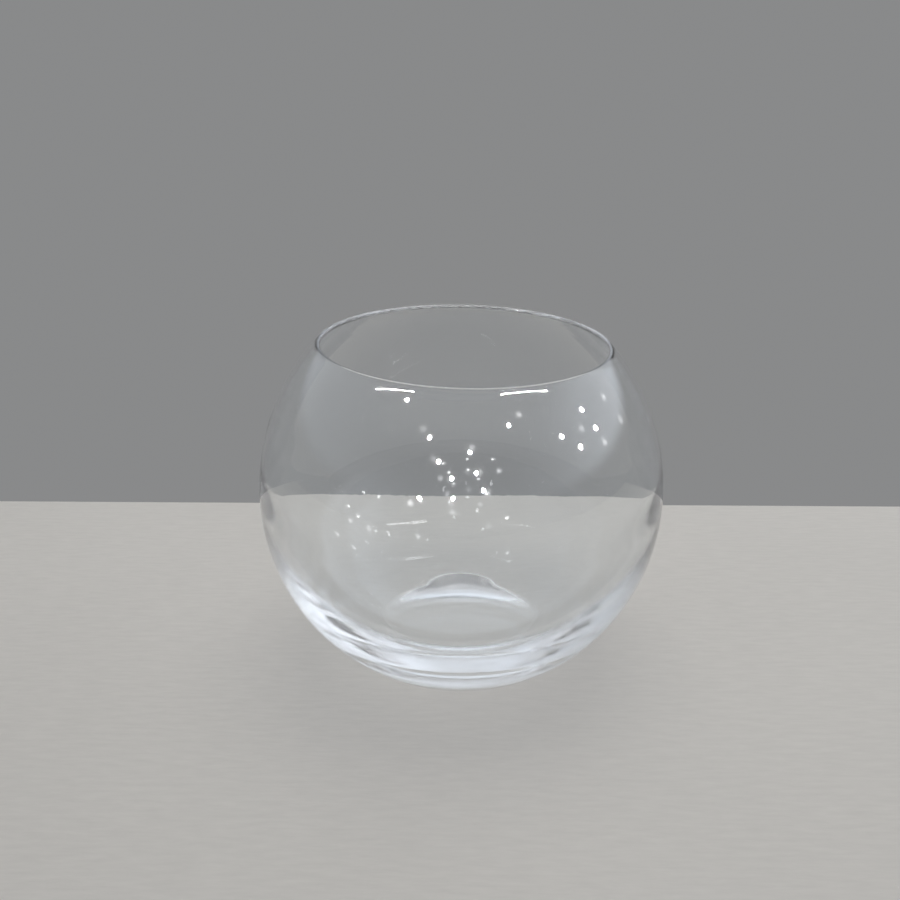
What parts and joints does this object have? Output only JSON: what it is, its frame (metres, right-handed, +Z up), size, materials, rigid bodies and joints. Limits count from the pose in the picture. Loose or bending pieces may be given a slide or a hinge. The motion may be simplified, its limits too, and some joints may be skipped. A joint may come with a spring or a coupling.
{
  "type": "rose bowl vase",
  "caption": "Clear blown glass globe vase with an open, slightly narrowed mouth, a thick heel and a flat foot ring, for water and short-stemmed or floating flowers.",
  "frame": {"origin": "middle of the foot ring, on the surface that the bowl stands on", "axes": "+Z up through the mouth, the bowl's axis; +X to the right of the picture, the side that the mouth's plane falls towards; -Y towards the camera"},
  "size_m": [0.152, 0.152, 0.1275],
  "materials": {
    "clear_glass": "clear blown soda-lime glass, polished, colourless with a faint cool tone where it is thick"
  },
  "bodies": {
    "root": {"glass_bowl": "clear_glass"}
  },
  "joints": []
}
